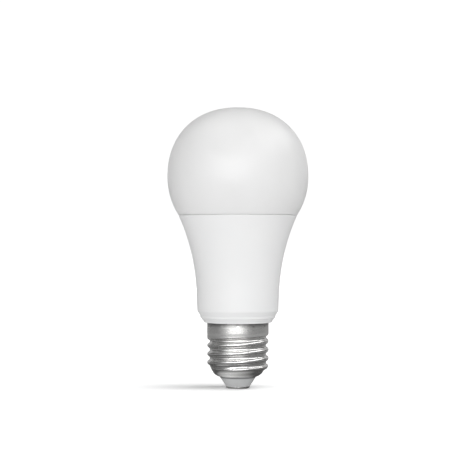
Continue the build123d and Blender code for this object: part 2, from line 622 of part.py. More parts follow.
def radio_header_pins():
    return group([block(x - 0.25, x + 0.25, -1.2, 5.0, z - 0.25, z + 0.25) for x, z in HEADER_PINS])


def radio_shield():
    outer = block(-5.5, 5.5, RADIO[2] - 2.1, RADIO[2], 61.3, 68.1)
    outer = fillet(outer.edges().filter_by(Axis.Y), 0.5)
    return outer - block(-5.3, 5.3, RADIO[2] - 1.9, 1, 61.5, 67.9)


def radio_chip():
    body = block(-2.5, 2.5, RADIO[2] - 0.85, RADIO[2], 62.2, 67.2)
    return chamfer(body.faces().sort_by(Axis.Y)[0].edges(), 0.1)


def radio_antenna():
    """A meandered inverted-F trace on the end of the radio board that stands up inside the dome."""
    low, thick, width, pitch, legs = 74.0, 0.08, 0.5, 1.7, 6
    front, back = RADIO[2] - thick, RADIO[2]
    foot, top, bend_high, bend_low = low - 1.6, low + 5.6, 5.1, 1.4
    trace = block(-6.2, -6.2 + width, front, back, foot, top)
    trace += block(-6.2, -3.5, front, back, top - width, top)
    trace += block(-4.5, -4.5 + width, front, back, foot, top)
    for k in range(legs):
        x = -4.0 + pitch * k
        level = low + (bend_high if k % 2 == 0 else bend_low)
        trace += block(x, x + pitch, front, back, level, level + width)
        if k < legs - 1:
            turn = x + pitch - width / 2
            trace += block(turn, turn + width, front, back, low + bend_low, top)
    return trace


NODES = {
    "diffuser_dome": diffuser_dome,
    "dome_sealant": dome_sealant,
    "housing": housing,
    "screw_shell": screw_shell,
    "cap_insulator": cap_insulator,
    "centre_contact": centre_contact,
    "contact_pin": contact_pin,
    "heat_sink_cup": heat_sink_cup,
    "thermal_pad": thermal_pad,
    "led_board": led_board,
    "led_packages": lambda: around_leds(led_package, lambda k: True),
    "warm_led_emitters": lambda: around_leds(led_emitter, lambda k: k % 2 == 0),
    "cool_led_emitters": lambda: around_leds(led_emitter, lambda k: k % 2 == 1),
    "led_board_screws": led_board_screws,
    "led_socket": led_socket,
    "link_pins": link_pins,
    "link_pin_spacer": link_pin_spacer,
    "driver_sleeve": driver_sleeve,
    "driver_board": driver_board,
    "bulk_capacitor": lambda: electrolytic(*BULK_CAN),
    "output_capacitor": lambda: electrolytic(*OUTPUT_CAN),
    "varistor": varistor,
    "fuse_resistor": fuse_resistor,
    "film_capacitor": film_capacitor,
    "choke_core": choke_core,
    "choke_winding": choke_winding,
    "transformer_core": transformer_core,
    "transformer_bobbin": transformer_bobbin,
    "transformer_winding": transformer_winding,
    "component_leads": component_leads,
    "solder_joints": solder_joints,
    "chip_bodies": chip_bodies,
    "chip_leads": chip_leads,
    "rectifier_diodes": rectifier_diodes,
    "chip_resistors": chip_resistors,
    "chip_capacitors": chip_capacitors,
    "live_wire": live_wire,
    "neutral_wire": neutral_wire,
    "radio_board": radio_board,
    "radio_header": radio_header,
    "radio_header_pins": radio_header_pins,
    "radio_shield": radio_shield,
    "radio_chip": radio_chip,
    "radio_antenna": radio_antenna,
}

os.makedirs("parts", exist_ok=True)
for name, make in NODES.items():
    export_step(make(), f"parts/{name}.step")
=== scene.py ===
import json
import math

import bmesh
import bpy
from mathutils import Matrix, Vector


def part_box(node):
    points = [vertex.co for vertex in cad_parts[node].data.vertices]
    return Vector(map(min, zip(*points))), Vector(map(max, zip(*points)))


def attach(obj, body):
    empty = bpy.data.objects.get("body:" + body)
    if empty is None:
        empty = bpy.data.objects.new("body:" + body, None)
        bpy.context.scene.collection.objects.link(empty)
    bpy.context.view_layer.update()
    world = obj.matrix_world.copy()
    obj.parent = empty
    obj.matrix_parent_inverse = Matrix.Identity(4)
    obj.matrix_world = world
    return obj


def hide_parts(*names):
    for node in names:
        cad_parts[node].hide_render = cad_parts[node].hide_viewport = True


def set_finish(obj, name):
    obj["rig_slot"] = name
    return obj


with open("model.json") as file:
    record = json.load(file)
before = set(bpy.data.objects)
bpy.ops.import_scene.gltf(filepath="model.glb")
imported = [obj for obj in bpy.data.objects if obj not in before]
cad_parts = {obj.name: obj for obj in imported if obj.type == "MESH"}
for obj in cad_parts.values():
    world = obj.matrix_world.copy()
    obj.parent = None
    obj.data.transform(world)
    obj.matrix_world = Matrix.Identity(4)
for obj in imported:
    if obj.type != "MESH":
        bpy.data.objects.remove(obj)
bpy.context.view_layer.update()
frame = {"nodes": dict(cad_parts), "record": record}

# A screw-cap LED smart bulb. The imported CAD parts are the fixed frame. This script gives the six pieces that
# show their finished meshes, every piece its material, and sets up the floor, the lights and the camera.
# Lengths are in millimetres in the part's own frame. They turn into metres where a mesh or a node is made.

MM = 0.001


def top_of(node):
    """The node's highest corner."""
    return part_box(node)[1] / MM


def bottom_of(node):
    """The node's lowest corner."""
    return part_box(node)[0] / MM


# ---- Sizes ------------------------------------------------------------------------------------------
TURN_STEPS = 160                          # points round a turned piece

OVERALL_HEIGHT = top_of("diffuser_dome").z
DOME_RADIUS = 30.0
CROWN_HEIGHT = 29.6
CROWN_POWER = 2.2                         # of the superellipse; 2 would make it an ellipse
DOME_WALL = 1.5
WIDEST_Z = OVERALL_HEIGHT - CROWN_HEIGHT
LIP_OUTER = 23.1
LIP_INNER = 22.0
LIP_BOTTOM_Z = bottom_of("diffuser_dome").z
LIP_SHOULDER, LIP_TAPER = 0.75, 2.1       # over the dome's edge: where the lip starts to taper, and ends
RIM_Z = top_of("housing").z
SEAM_GAP = 0.3
SEAM_DEPTH = 0.4
REST_GAP = 0.03                           # between the dome and the rim that it rests on

# The housing's wall is straight with a draft below the waist, and one large arc above it.
WAIST_RADIUS = 17.6
WAIST_Z = 41.0
FLARE_RADIUS = 86.0
DRAFT = math.radians(2.0)
FLARE_CENTRE_R = WAIST_RADIUS + FLARE_RADIUS * math.cos(DRAFT)
FLARE_CENTRE_Z = WAIST_Z - FLARE_RADIUS * math.sin(DRAFT)
HOUSING_WALL = 1.6
RIM_RECESS = 23.2
SEAT_Z = top_of("led_board").z
SHOULDER_Z = 33.0
SHOULDER_ROUND = 0.7
RIM_ROUND = 0.1
FLOOR_Z = 31.0
FLOOR_RADIUS = 14.9
SPIGOT_BOTTOM = bottom_of("housing").z
SPIGOT_RADIUS, SPIGOT_BORE, SPIGOT_BAND = 11.5, 10.1, 12.65
SPIGOT_FLARE_Z, SPIGOT_BAND_Z = 22.7, 24.1
WIRE_NOTCH_RADIUS, WIRE_NOTCH_HALF, WIRE_NOTCH_TOP = 10.7, 0.6, 21.0

COLLAR_Z = top_of("screw_shell").z
# The stepped collar from the shell up, as (radius, height, rounding).
COLLAR_STEPS = [(14.45, COLLAR_Z, 0.25), (14.8, 29.0, 0.3), (15.25, 29.3, 0.15), (15.35, 29.65, 0.12),
                (15.95, 30.1, 0.25), (16.1, 31.1, 0.3)]
SHELL_BOTTOM = 5.1
BAND_RADIUS = 13.1
SHELL_WALL = 0.35
THREAD_MAJOR = 13.05                      # radius over the crests
THREAD_ARC = 1.025                        # radius of each round crest and groove
THREAD_PITCH = 3.629
THREAD_DEPTH = 2 * (THREAD_ARC - math.sqrt(THREAD_ARC**2 - (THREAD_PITCH / 4) ** 2))
THREAD_MINOR = THREAD_MAJOR - THREAD_DEPTH   # radius in the grooves
CREST_Z = 12.85                           # height of the lowest full crest, at angle 0
LIP_RADIUS = 8.2
# The bowl under the thread, as (height, radius).
BOWL_OUTLINE = [(SHELL_BOTTOM, LIP_RADIUS), (5.5, 9.05), (6.2, 10.05), (7.0, 10.65), (7.8, 11.08),
                (8.6, 11.5), (9.4, 11.82), (10.2, THREAD_MINOR)]
# Where the thread runs out, in turns up from the lowest full crest, and the heights between which its major
# radius turns into the band's.
CREST_FADE = (-1.5, -1.15)
GROOVE_FADE = (2.4, 3.0)
SHOULDER_FADE, SHOULDER_SHIFT = (1.5, 2.1), 0.4
BAND_BLEND = (22.5, 24.0)
SHELL_STEPS = 240                         # points round the shell
OUTER_STEP, INNER_STEP = 0.1, 0.34        # height from ring to ring, outside and inside
STAKE_Z = 27.2
STAKE_COUNT = 12
STAKE_SPREAD, STAKE_DEPTH = 0.38, 0.07
# The groove round the spigot that the stakes press into: its depth, how far it reaches below them, and how
# far it stays under the collar.
STAKE_GROOVE_DEPTH, STAKE_GROOVE_DROP, STAKE_GROOVE_ROOM = 0.5, 0.75, 0.15
INSULATOR_TOP = 9.2
INSULATOR_GAP = 0.06                      # between the insulator and the shell that holds it

CONTACT_FLAT, CONTACT_RADIUS, CONTACT_HEIGHT = 4.35, 5.0, 0.9
STEM_RADIUS, STEM_TOP, PIN_RADIUS = 1.6, 3.0, 0.7
PIN_GAP = 0.02                            # round the stem in the insulator, and round the pin in the stem

# ---- Places of the camera, the floor and the lights -------------------------------------------------
CAMERA_DISTANCE = 639.0
CAMERA_SIDE = -0.38
CAMERA_HEIGHT = 64.4
SENSOR_WIDTH, FOCAL_LENGTH = 36.0, 113.9
CLIP_NEAR, CLIP_FAR = 10.0, 50000.0

# The floor's look, by the kind of ray that meets it. A value changes over a span of two distances.
FLOOR_HALF = 6000.0
FLOOR_ALBEDO = 0.6
NEAR_GLOW, FAR_GLOW = 0.34, 1.20          # camera rays: glow near the bulb and far behind it
GLOW_SPAN = (150.0, 1200.0)
CAMERA_GAIN = 0.63                        # camera rays: the share by which the floor is lighter
SHADE_MIDDLE = (-12.0, 6.0, 0.0)          # camera rays: painted shadow, a soft patch beside the contact with less glow
SHADE_STRETCH = (1.0, 2.0, 1.0)           # distances along Y count double in it
SHADE_LEAST = 0.0
SHADE_SPAN = (4.0, 34.0)
BOUNCE_GLOW = 0.29                        # diffuse rays: glow on what stands over the floor
# painted shade: the metal mirrors the floor darker, most close to the bulb
NEAR_LOSS, FAR_LOSS = -0.85, -0.35        # glossy rays: the share by which the floor is darker, near and far
LOSS_SPAN = (15.0, 90.0)
FRONT_PATCH = (-4.0, -5.0, 0.0)           # glossy rays: middle of a patch that glows, a painted reflection
PATCH_GLOW, PATCH_SPREAD = 0.75, 15.0

ROOM_GREY = 0.11                          # what the metal mirrors past the lights and the floor
BACKDROP_GLOW = 1.05                      # what the camera sees there

# Banks of equal softboxes as (azimuths, elevation, width, height, strength, what they light), the first four
# in degrees. A bank for "matt" fills the white parts and doesn't show in gloss. One for "metal" shows in
# gloss only.
SOFTBOXES = {
    "front_key": ((-7.5,), 14, 59, 28, 3.3, "all"),
    "front_left": ((-45,), 14, 15, 28, 1.7, "all"),
    "front_far_left": ((-60,), 14, 15, 28, 0.65, "all"),
    "front_right": ((30,), 14, 15, 28, 1.45, "all"),
    "back_rim": ((-150, 150), 14, 30, 28, 0.4, "all"),
    "back_left": ((-120,), 43, 30, 30, 0.35, "all"),
    "high_front": ((30,), 43, 30, 30, 1.1, "all"),
    "high_right": ((67, 113), 43, 45, 30, 2.0, "all"),
    "top_left": ((-90,), 70, 90, 26, 1.0, "all"),
    "left_fill": ((-90,), 43, 60, 30, 1.2, "matt"),
    "back_fill": ((180,), 25, 60, 40, 0.9, "matt"),
    "front_glint": ((-12,), 5, 54, 18, 0.7, "metal"),
    "top_fill": ((90,), 70, 90, 26, 1.5, "matt"),
}
SOFTBOX_DISTANCE = 1.2                    # metres


# ---- Mesh tools -------------------------------------------------------------------------------------
def new_object(name, mesh, slot, *nodes):
    """Links the piece, rides it on the root body and lets it stand for its CAD nodes."""
    piece = bpy.data.objects.new(name, mesh)
    bpy.context.scene.collection.objects.link(piece)
    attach(piece, "root")
    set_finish(piece, slot)
    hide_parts(*nodes)
    return piece


def shade_smooth(mesh, sharp_degrees=35):
    """Smooth shading, with edges sharper than the angle kept crisp."""
    for face in mesh.polygons:
        face.use_smooth = True
    mesh.set_sharp_from_angle(angle=math.radians(sharp_degrees))


def skin(name, rows, closed=False, sharp_degrees=35):
    """A mesh over rows of points, each row a ring. A row of one point is a pole."""
    mesh = bpy.data.meshes.new(name)
    bm = bmesh.new()
    rings = [[bm.verts.new(Vector(point) * MM) for point in row] for row in rows]
    pairs = list(zip(rings, rings[1:]))
    if closed:
        pairs.append((rings[-1], rings[0]))
    for below, above in pairs:
        for k in range(max(len(below), len(above))):
            corners = [below[k % len(below)], below[(k + 1) % len(below)],
                       above[(k + 1) % len(above)], above[k % len(above)]]
            bm.faces.new(list(dict.fromkeys(corners)))
    bmesh.ops.recalc_face_normals(bm, faces=bm.faces)
    bm.to_mesh(mesh)
    bm.free()
    shade_smooth(mesh, sharp_degrees)
    return mesh


def turned_rows(outline, radius_at=None, steps=TURN_STEPS):
    """Rings for a (radius, height) outline. radius_at(radius, z, angle) may vary the radius along a ring."""
    rows = []
    for radius, z in outline:
        if radius < 1e-6:
            rows.append([(0, 0, z)])
            continue
        row = []
        for k in range(steps):
            angle = 2 * math.pi * k / steps
            r = radius_at(radius, z, angle) if radius_at else radius
            row.append((r * math.cos(angle), r * math.sin(angle), z))
        rows.append(row)
    return rows


def lathe(name, outline, radius_at=None, steps=TURN_STEPS):
    """A closed turned solid. Its outline either starts and ends on the axis or closes on itself."""
    on_axis = outline[0][0] < 1e-6 and outline[-1][0] < 1e-6
    return skin(name, turned_rows(outline, radius_at, steps), closed=not on_axis)


def arc(start, middle, end, steps):
    """Points on the circle through three (radius, height) points, from start to end."""
    (ax, ay), (bx, by), (cx, cy) = start, middle, end
    d = 2 * (ax * (by - cy) + bx * (cy - ay) + cx * (ay - by))
    a2, b2, c2 = ax * ax + ay * ay, bx * bx + by * by, cx * cx + cy * cy
    ux = (a2 * (by - cy) + b2 * (cy - ay) + c2 * (ay - by)) / d
    uy = (a2 * (cx - bx) + b2 * (ax - cx) + c2 * (bx - ax)) / d
    radius = math.hypot(ax - ux, ay - uy)
    angles = [math.atan2(y - uy, x - ux) for x, y in (start, middle, end)]
    for k in (1, 2):
        turn = angles[k] - angles[k - 1]
        angles[k] -= 2 * math.pi * round(turn / (2 * math.pi))
    sweep = angles[2] - angles[0]
    return [(ux + radius * math.cos(angles[0] + sweep * k / steps),
             uy + radius * math.sin(angles[0] + sweep * k / steps)) for k in range(steps + 1)]


def rounded(corners, steps=5):
    """An outline of (radius, height, rounding) corners, each inner corner rounded by that much."""
    result = [corners[0][:2]]
    for before, (x, y, rounding), after in zip(corners, corners[1:], corners[2:]):
        corner = Vector((x, y))
        into, out = Vector(before[:2]) - corner, Vector(after[:2]) - corner
        if rounding <= 0:
            result.append((x, y))
            continue
        half = into.angle(out) / 2
        cut = min(rounding / math.tan(half), 0.49 * into.length, 0.49 * out.length)
        radius = cut * math.tan(half)
        centre = corner + (into.normalized() + out.normalized()).normalized() * (radius / math.sin(half))
        middle = centre + (corner - centre).normalized() * radius
        start, end = corner + into.normalized() * cut, corner + out.normalized() * cut
        result += arc(tuple(start), tuple(middle), tuple(end), steps)
    result.append(corners[-1][:2])
    return result


def smoothstep(low, high, value):
    """0 up to low, 1 from high on, and a soft ramp between them."""
    t = min(max((value - low) / (high - low), 0.0), 1.0)
    return t * t * (3 - 2 * t)


# ---- Dome -------------------------------------------------------------------------------------------
def crown(inset, steps=44):
    """The dome's upper outline, a superellipse, from its widest level to the axis."""
    a, b = DOME_RADIUS - inset, CROWN_HEIGHT - inset
    points = []
    for k in range(steps):
        t = math.pi / 2 * k / steps
        points.append((a * math.cos(t) ** (2 / CROWN_POWER), WIDEST_Z + b * math.sin(t) ** (2 / CROWN_POWER)))
    return points + [(0.0, WIDEST_Z + b)]


def lower_sphere(inset, z, steps=22):
    """The dome's lower outline, part of a sphere, from a low level up to just under the widest one."""
    radius = DOME_RADIUS - inset
    start = math.asin((WIDEST_Z - z) / radius)
    angles = [start * (1 - k / steps) for k in range(steps)]
    return [(radius * math.cos(t), WIDEST_Z - radius * math.sin(t)) for t in angles]


def build_dome():
    """The hollow dome and its lip. Behind the dome's edge the lip fills the seam, which keeps it shallow."""
    edge_z, rest_z = RIM_Z + SEAM_GAP, RIM_Z + REST_GAP
    outer = lower_sphere(0, edge_z + 0.15) + crown(0)
    inner = lower_sphere(DOME_WALL, edge_z + LIP_TAPER + 0.05) + crown(DOME_WALL)
    edge = outer[0][0]
    lip = rounded([(edge - 0.02, edge_z + 0.1, 0), (edge - 0.06, edge_z, 0.08),
                   (edge - SEAM_DEPTH, edge_z, 0), (edge - SEAM_DEPTH, rest_z, 0), (LIP_OUTER, rest_z, 0),
                   (LIP_OUTER, LIP_BOTTOM_Z, 0.2), (LIP_INNER, LIP_BOTTOM_Z, 0.2),
                   (LIP_INNER, edge_z + LIP_SHOULDER, 0.4), (inner[0][0] - 0.1, edge_z + LIP_TAPER, 0)])
    outline = outer[::-1] + lip + inner
    return new_object("dome_skin", lathe("dome_skin", outline), "opal_polycarbonate", "diffuser_dome")


# ---- Housing ----------------------------------------------------------------------------------------
def wall_point(z, inset):
    """The (radius, height) of the housing's flared wall at a height, that far inside its outer face."""
    reach = FLARE_RADIUS + inset
    joint_z = FLARE_CENTRE_Z + reach * math.sin(DRAFT)
    if z >= joint_z:
        return FLARE_CENTRE_R - math.sqrt(reach**2 - (z - FLARE_CENTRE_Z) ** 2), z
    return FLARE_CENTRE_R - reach * math.cos(DRAFT) - (joint_z - z) * math.tan(DRAFT), z


def wall(inset, bottom, top, steps=30):
    """The flared wall's outline from one height up to another."""
    return [wall_point(bottom + (top - bottom) * k / steps, inset) for k in range(steps + 1)]


def build_housing():
    """The flared shell with its rim, inner floor, notched spigot and stepped collar."""
    outer = wall(0, SHOULDER_Z + SHOULDER_ROUND, RIM_Z - RIM_ROUND)
    inner = wall(HOUSING_WALL, SHOULDER_Z, SEAT_Z)[::-1]
    rim = rounded([(*outer[-1], 0), (outer[-1][0] + 0.02, RIM_Z, RIM_ROUND), (RIM_RECESS, RIM_Z, RIM_ROUND),
                   (RIM_RECESS, SEAT_Z, 0), (*inner[0], 0)])
    inside = rounded([(*inner[-1], 0), (FLOOR_RADIUS, FLOOR_Z, 0.5), (SPIGOT_BORE, FLOOR_Z, 0.3),
                      (SPIGOT_BORE, SPIGOT_BOTTOM, 0), (SPIGOT_RADIUS, SPIGOT_BOTTOM, 0.3),
                      (SPIGOT_RADIUS, SPIGOT_FLARE_Z, 0), (SPIGOT_BAND, SPIGOT_BAND_Z, 0)])
    notch_edge = [(SPIGOT_RADIUS, WIRE_NOTCH_TOP - 0.01), (SPIGOT_RADIUS, WIRE_NOTCH_TOP + 0.01)]
    inside = inside[:-2] + notch_edge + inside[-2:]
    groove_radius = SPIGOT_BAND - STAKE_GROOVE_DEPTH
    groove_bottom, groove_top = STAKE_Z - STAKE_GROOVE_DROP, COLLAR_Z - STAKE_GROOVE_ROOM
    groove = [(SPIGOT_BAND, groove_bottom), (groove_radius, groove_bottom),
              (groove_radius, groove_top), (SPIGOT_BAND, groove_top)]
    collar = rounded([(SPIGOT_BAND, COLLAR_Z, 0), *COLLAR_STEPS,
                      (wall_point(SHOULDER_Z, 0)[0], SHOULDER_Z, 0.9), (*outer[0], 0)])
    away = math.atan2(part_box("neutral_wire")[1].y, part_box("neutral_wire")[1].x)

    def notched(radius, z, angle):
        """The spigot's radius, less in the notch that the neutral wire runs in."""
        side = radius * math.sin(angle - away)
        in_notch = abs(side) < WIRE_NOTCH_HALF and math.cos(angle - away) > 0
        if in_notch and z < WIRE_NOTCH_TOP and WIRE_NOTCH_RADIUS < radius <= SPIGOT_RADIUS:
            return WIRE_NOTCH_RADIUS
        return radius

    outline = outer + rim[1:] + inner[1:] + inside[1:] + groove + collar[:-1]
    return new_object("housing_skin", lathe("housing_skin", outline, notched), "white_polymer", "housing")


# ---- Screw cap --------------------------------------------------------------------------------------
def base_radius(z):
    """The shell without its thread: the bowl, then the cylinder of the thread's roots."""
    for (z0, r0), (z1, r1) in zip(BOWL_OUTLINE, BOWL_OUTLINE[1:]):
        if z < z1:
            return r0 + (r1 - r0) * (z - z0) / (z1 - z0)
    return THREAD_MINOR


def thread_bump(turns):
    """How far the round thread stands out over its roots, that many turns away from a crest."""
    away = abs((turns + 0.5) % 1.0 - 0.5) * THREAD_PITCH
    if away <= THREAD_PITCH / 4:
        return THREAD_DEPTH - THREAD_ARC + math.sqrt(THREAD_ARC**2 - away**2)
    return THREAD_ARC - math.sqrt(THREAD_ARC**2 - (THREAD_PITCH / 2 - away) ** 2)


def shell_radius(z, angle):
    """Outer radius of the shell. The crest fades into the bowl, and the last groove into the plain band.

    The upper side of the last groove is a little steeper, which gives the band a tighter shoulder."""
    part = angle / (2 * math.pi)
    turns = (z - CREST_Z) / THREAD_PITCH - part
    if turns + part < 1:
        crest = part + round(turns)
        return base_radius(z) + thread_bump(turns) * smoothstep(*CREST_FADE, crest)
    groove = part + math.floor(turns) + 0.5
    rise = turns - math.floor(turns) - 0.5
    if rise > 0:
        turns += min(SHOULDER_SHIFT * smoothstep(*SHOULDER_FADE, groove) * rise, 0.5 - rise)
    depth = (THREAD_DEPTH - thread_bump(turns)) * (1 - smoothstep(*GROOVE_FADE, groove))
    return THREAD_MAJOR - depth + (BAND_RADIUS - THREAD_MAJOR) * smoothstep(*BAND_BLEND, z)


def stake_dent(z, angle):
    """Depth of the punch marks that lock the shell to the housing."""
    spacing = 2 * math.pi / STAKE_COUNT
    side = ((angle + spacing / 2) % spacing - spacing / 2) * BAND_RADIUS
    distance = math.hypot(side, z - STAKE_Z)
    return STAKE_DEPTH * math.exp(-((distance / STAKE_SPREAD) ** 2))


def build_shell():
    """The formed shell, its inside following its outside a wall away, open at the collar and at the lip."""
    def ring(z, inset):
        points = []
        for k in range(SHELL_STEPS):
            angle = 2 * math.pi * k / SHELL_STEPS
            r = shell_radius(z, angle) - stake_dent(z, angle) - inset
            points.append((r * math.cos(angle), r * math.sin(angle), z))
        return points

    def levels(step):
        count = round((COLLAR_Z - SHELL_BOTTOM) / step)
        return [SHELL_BOTTOM + (COLLAR_Z - SHELL_BOTTOM) * k / count for k in range(count + 1)]

    outer = [ring(z, 0.0) for z in levels(OUTER_STEP)[1:]]
    inner = [ring(z, SHELL_WALL) for z in levels(INNER_STEP)[1:]][::-1]
    lip_bore = LIP_RADIUS - SHELL_WALL
    rounding = [(lip_bore, SHELL_BOTTOM + 0.25), (lip_bore + 0.03, SHELL_BOTTOM + 0.08),
                (LIP_RADIUS - 0.2, SHELL_BOTTOM), (LIP_RADIUS, SHELL_BOTTOM + 0.03)]
    lip = turned_rows(rounding, steps=SHELL_STEPS)
    mesh = skin("screw_shell_skin", lip + outer + inner, closed=True, sharp_degrees=60)
    return new_object("screw_shell_skin", mesh, "nickel_plate", "screw_shell")


def build_insulator():
    """The cone that shows under the shell, and the fill of the shell's bowl round the contact's stem."""
    seat, bore = SHELL_WALL + INSULATOR_GAP, STEM_RADIUS + PIN_GAP
    neck = LIP_RADIUS - seat
    cone = rounded([(bore, CONTACT_HEIGHT, 0), (CONTACT_RADIUS + 0.05, CONTACT_HEIGHT, 0.12),
                    (neck, SHELL_BOTTOM - 0.05, 0.2), (neck, SHELL_BOTTOM, 0)])
    bowl = arc((neck, SHELL_BOTTOM), (10.3 - seat, 6.4 + seat / 2), (11.65 - seat, INSULATOR_TOP), 14)
    mesh = lathe("cap_insulator_skin", cone[:-1] + bowl + [(bore, INSULATOR_TOP)])
    return new_object("cap_insulator_skin", mesh, "grey_insulator", "cap_insulator")


def build_contact():
    """The eyelet: a flat face with a recess for the solder, a rounded rim, and the stem over them."""
    bore = PIN_RADIUS + PIN_GAP
    face = [(bore, 0.5, 0), (1.45, 0.5, 0.1), (1.6, 0.0, 0.15), (CONTACT_FLAT, 0.0, 0.5)]
    rim = [(CONTACT_RADIUS - 0.1, 0.28, 0.3), (CONTACT_RADIUS, 0.62, 0.2),
           (CONTACT_RADIUS, CONTACT_HEIGHT, 0.05)]
    stem = [(STEM_RADIUS, CONTACT_HEIGHT, 0.15), (STEM_RADIUS, STEM_TOP, 0.1), (bore, STEM_TOP, 0)]
    outline = rounded(face + rim + stem)
    return new_object("centre_contact_skin", lathe("centre_contact_skin", outline, steps=96), "nickel_plate",
                      "centre_contact")


def build_contact_pin():
    """The live lead's pin, soldered into the contact's recess with a low dome of solder."""
    dome = arc((0.0, 0.08), (0.85, 0.2), (1.38, 0.47), 8)
    pin = [(PIN_RADIUS, 0.48), (PIN_RADIUS, STEM_TOP - 0.1), (PIN_RADIUS - 0.1, STEM_TOP), (0.0, STEM_TOP)]
    mesh = lathe("contact_pin_skin", dome + pin, steps=48)
    return new_object("contact_pin_skin", mesh, "nickel_plate", "contact_pin")


# ---- Materials --------------------------------------------------------------------------------------
class Surface:
    """A principled shader with detail from noise in the part's own space, with its scales in millimetres."""

    def __init__(self, name, colour, roughness, metallic=0.0, **shader_inputs):
        self.material = bpy.data.materials.new(name)
        self.material.use_nodes = True
        self.nodes, self.links = self.material.node_tree.nodes, self.material.node_tree.links
        self.shader = self.nodes["Principled BSDF"]
        self.colour = (*colour, 1.0)
        self.shader.inputs["Base Color"].default_value = self.colour
        self.shader.inputs["Roughness"].default_value = roughness
        self.shader.inputs["Metallic"].default_value = metallic
        for socket, value in shader_inputs.items():
            self.shader.inputs[socket.replace("_", " ")].default_value = value
        self.place = self.nodes.new("ShaderNodeTexCoord").outputs["Object"]

    def stretched(self, per_mm):
        """The place in millimetres times a number, or times one number for each axis."""
        sizes = (per_mm,) * 3 if isinstance(per_mm, (int, float)) else per_mm
        mapping = self.nodes.new("ShaderNodeMapping")
        mapping.inputs["Scale"].default_value = [size / MM for size in sizes]
        self.links.new(self.place, mapping.inputs["Vector"])
        return mapping.outputs["Vector"]

    def noise(self, per_mm, detail=3.0):
        node = self.nodes.new("ShaderNodeTexNoise")
        node.inputs["Scale"].default_value = 1.0
        node.inputs["Detail"].default_value = detail
        self.links.new(self.stretched(per_mm), node.inputs["Vector"])
        return node.outputs["Fac"]

    def ranged(self, source, low, high, from_low=0.3, from_high=0.7):
        """A value that runs from low to high. Without its own limits, a source is taken to be noise."""
        node = self.nodes.new("ShaderNodeMapRange")
        limits = {"From Min": from_low, "From Max": from_high, "To Min": low, "To Max": high}
        for socket, value in limits.items():
            node.inputs[socket].default_value = value
        self.links.new(source, node.inputs["Value"])
        return node.outputs["Result"]

    def tint(self, source, other):
        """Base colour that drifts from the main colour to another one."""
        ramp = self.nodes.new("ShaderNodeValToRGB")
        first, last = ramp.color_ramp.elements
        first.position, first.color = 0.35, self.colour
        last.position, last.color = 0.65, (*other, 1.0)
        self.links.new(source, ramp.inputs["Fac"])
        self.links.new(ramp.outputs["Color"], self.shader.inputs["Base Color"])
        return self

    def fade(self, low_mm, high_mm, below, above):
        """Scales the colour by one share below a height and by another above a second one."""
        apart = self.nodes.new("ShaderNodeSeparateXYZ")
        self.links.new(self.place, apart.inputs[0])
        share = self.ranged(apart.outputs["Z"], below, above, low_mm * MM, high_mm * MM)
        mix = self.nodes.new("ShaderNodeVectorMath")
        mix.operation = "SCALE"
        colour = self.shader.inputs["Base Color"]
        self.links.new(colour.links[0].from_socket, mix.inputs[0])
        self.links.new(share, mix.inputs["Scale"])
        self.links.new(mix.outputs["Vector"], colour)
        return self

    def gloss(self, source, low, high):
        """Roughness that drifts between two values."""
        self.links.new(self.ranged(source, low, high), self.shader.inputs["Roughness"])
        return self

    def bump(self, source, height_mm, strength):
        node = self.nodes.new("ShaderNodeBump")
        node.inputs["Strength"].default_value = strength
        node.inputs["Distance"].default_value = height_mm * MM
        self.links.new(source, node.inputs["Height"])
        self.links.new(node.outputs["Normal"], self.shader.inputs["Normal"])
        return self


def opal_polycarbonate():
    """Frosted white diffuser plastic that light enters a little way, with a fine even grain."""
    s = Surface("opal_polycarbonate", (0.87, 0.87, 0.87), 0.36, Subsurface_Weight=0.5, Subsurface_Scale=0.005,
                Subsurface_Radius=(1, 1, 1))
    s.tint(s.noise(0.03), (0.88, 0.879, 0.875)).gloss(s.noise(0.4), 0.34, 0.40)
    return s.bump(s.noise(7.0, 2.0), 0.003, 0.4)


def white_polymer():
    """Moulded white plastic with a fine spark-eroded grain."""
    s = Surface("white_polymer", (0.80, 0.803, 0.806), 0.42)
    s.tint(s.noise(0.05), (0.815, 0.815, 0.815)).gloss(s.noise(0.6), 0.38, 0.46)
    return s.bump(s.noise(5.0, 3.0), 0.005, 0.5)


def nickel_plate():
    """Satin nickel with a slow drift in colour and gloss, and painted shade under the collar and on the
    contact.
    """
    s = Surface("nickel_plate", (0.81, 0.805, 0.795), 0.24, 1.0)
    s.tint(s.noise((0.1, 0.1, 0.4), 1.0), (0.83, 0.825, 0.815))
    s.gloss(s.noise((0.1, 0.1, 0.3), 1.0), 0.25, 0.28)
    # painted shade: the colour falls to 0.3 just under the collar and to 0.4 at the foot of the contact
    s.fade(COLLAR_Z - 1.9, COLLAR_Z - 0.2, 1.0, 0.3).fade(0.7, 1.4, 0.4, 1.0)
    return s.bump(s.noise((0.3, 0.3, 0.8), 1.0), 0.0008, 0.02)


def grey_insulator():
    """Light grey insulating compound, with painted shade just below the shell's lip."""
    s = Surface("grey_insulator", (0.49, 0.495, 0.50), 0.42)
    s.tint(s.noise(0.5), (0.52, 0.522, 0.525)).gloss(s.noise(1.2), 0.36, 0.5)
    # painted shade: the colour falls to 0.3 just below the shell's lip, where the seam is in shadow
    s.fade(SHELL_BOTTOM - 0.8, SHELL_BOTTOM - 0.3, 1.0, 0.3)
    return s.bump(s.noise(6.0), 0.005, 0.5)


